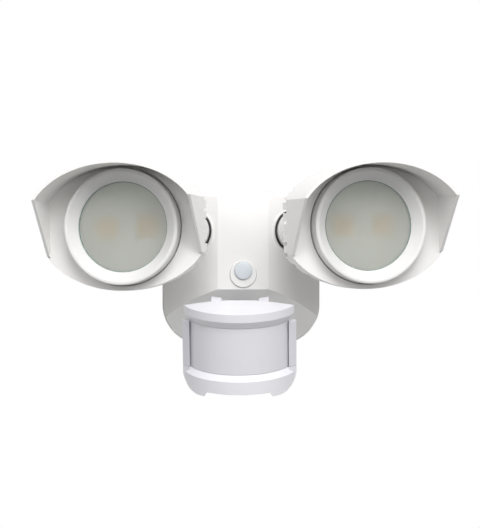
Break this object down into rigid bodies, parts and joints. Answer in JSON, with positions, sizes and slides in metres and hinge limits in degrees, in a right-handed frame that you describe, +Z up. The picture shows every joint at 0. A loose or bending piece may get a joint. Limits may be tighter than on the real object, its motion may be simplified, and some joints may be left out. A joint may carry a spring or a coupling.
{
  "type": "motion sensor security light",
  "caption": "Wall light with hooded adjustable lamp heads on swivels, a panning motion sensor below and a wall housing with a light sensing window.",
  "frame": {"origin": "centre of the wall box screw pattern, on the wall plane", "axes": "+X to the right of a person facing the light, +Y into the wall, +Z up; the light stands out towards -Y"},
  "size_m": [0.2863, 0.139, 0.16],
  "materials": {
    "housing_white": "fine satin",
    "head_white": "satin",
    "cast_white": "painted white",
    "bezel_white": "satin",
    "lamp_glass": "frosted",
    "sensor_white": "satin",
    "lens_film": "milky",
    "window_white": "milky",
    "seal_black": "matt",
    "zinc_steel": "zinc plated",
    "ground_green": "painted",
    "inner_grey": "matt",
    "board_green": "satin",
    "board_metal": "white mask",
    "led_phosphor": "satin",
    "reflector_white": "gloss",
    "core_amber": "varnished",
    "can_metal": "sleeved",
    "relay_blue": "gloss",
    "terminal_beige": "matt",
    "cell_amber": "gloss",
    "knob_grey": "matt"
  },
  "bodies": {
    "housing": {"front_cover": "housing_white", "mounting_plate": "zinc_steel", "wall_gasket": "seal_black", "back_plate_gasket": "seal_black", "ground_screw": "ground_green", "lock_screw": "zinc_steel", "back_plate_screws": "zinc_steel", "back_plate": "inner_grey", "driver_board": "board_green", "transformer": "core_amber", "capacitor": "can_metal", "relay": "relay_blue", "terminal_block": "terminal_beige", "photocell_ring": "window_white", "photocell_dome": "window_white", "photocell": "cell_amber"},
    "left_swivel": {"left_arm": "cast_white", "left_seal": "seal_black", "left_swivel_nut": "zinc_steel", "left_tilt_bolt": "zinc_steel", "left_tilt_nut": "zinc_steel"},
    "left_head": {"left_heat_sink": "cast_white", "left_shroud": "head_white", "left_led_board": "board_metal", "left_led_modules": "led_phosphor", "left_reflector": "reflector_white", "left_glass_gasket": "seal_black", "left_glass": "lamp_glass", "left_bezel": "bezel_white", "left_head_screws": "zinc_steel"},
    "right_swivel": {"right_arm": "cast_white", "right_seal": "seal_black", "right_swivel_nut": "zinc_steel", "right_tilt_bolt": "zinc_steel", "right_tilt_nut": "zinc_steel"},
    "right_head": {"right_heat_sink": "cast_white", "right_shroud": "head_white", "right_led_board": "board_metal", "right_led_modules": "led_phosphor", "right_reflector": "reflector_white", "right_glass_gasket": "seal_black", "right_glass": "lamp_glass", "right_bezel": "bezel_white", "right_head_screws": "zinc_steel"},
    "sensor_swivel": {"sensor_arm": "sensor_white", "sensor_arm_nut": "zinc_steel"},
    "sensor": {"sensor_case": "sensor_white", "sensor_cap": "sensor_white", "fresnel_lens": "lens_film", "sensor_tray": "sensor_white", "sensor_board": "board_green", "infrared_detector": "zinc_steel", "control_board": "board_green", "potentiometers": "relay_blue", "sensor_tilt_bolt": "zinc_steel", "sensor_tilt_nut": "zinc_steel", "sensor_screws": "zinc_steel"},
    "time_knob_body": {"time_knob": "knob_grey"},
    "range_knob_body": {"range_knob": "knob_grey"},
    "light_knob_body": {"light_knob": "knob_grey"}
  },
  "joints": [
    {"name": "left_swivel_turn", "type": "hinge", "parent": "housing", "child": "left_swivel", "pos_m": [-0.0355, -0.04096, 0.02705], "axis": [-0.454, -0.891, 0], "range_deg": [-90, 15]},
    {"name": "left_head_tilt", "type": "hinge", "parent": "left_swivel", "child": "left_head", "pos_m": [-0.06099, -0.05783, 0.0288], "axis": [0.9766, -0.2133, 0.0287], "range_deg": [-25, 30]},
    {"name": "right_swivel_turn", "type": "hinge", "parent": "housing", "child": "right_swivel", "pos_m": [0.0355, -0.04096, 0.02705], "axis": [0.454, -0.891, 0], "range_deg": [-15, 90]},
    {"name": "right_head_tilt", "type": "hinge", "parent": "right_swivel", "child": "right_head", "pos_m": [0.06088, -0.05788, 0.02969], "axis": [0.9766, 0.2133, 0.0287], "range_deg": [-25, 30]},
    {"name": "sensor_pan", "type": "hinge", "parent": "housing", "child": "sensor_swivel", "pos_m": [0, -0.03, -0.01625], "axis": [0, 0, 1], "range_deg": [-23, 32]},
    {"name": "sensor_tilt", "type": "hinge", "parent": "sensor_swivel", "child": "sensor", "pos_m": [-0.00238, -0.0589, -0.02875], "axis": [0.9966, -0.0819, 0], "range_deg": [-15, 30]},
    {"name": "time_knob_turn", "type": "hinge", "parent": "sensor", "child": "time_knob_body", "pos_m": [-0.01603, -0.07241, -0.08367], "axis": [0.0191, 0.2327, -0.9724], "range_deg": [-135, 135]},
    {"name": "range_knob_turn", "type": "hinge", "parent": "sensor", "child": "range_knob_body", "pos_m": [-0.00357, -0.07344, -0.08367], "axis": [0.0191, 0.2327, -0.9724], "range_deg": [-135, 135]},
    {"name": "light_knob_turn", "type": "hinge", "parent": "sensor", "child": "light_knob_body", "pos_m": [0.00889, -0.07446, -0.08367], "axis": [0.0191, 0.2327, -0.9724], "range_deg": [-135, 135]}
  ]
}
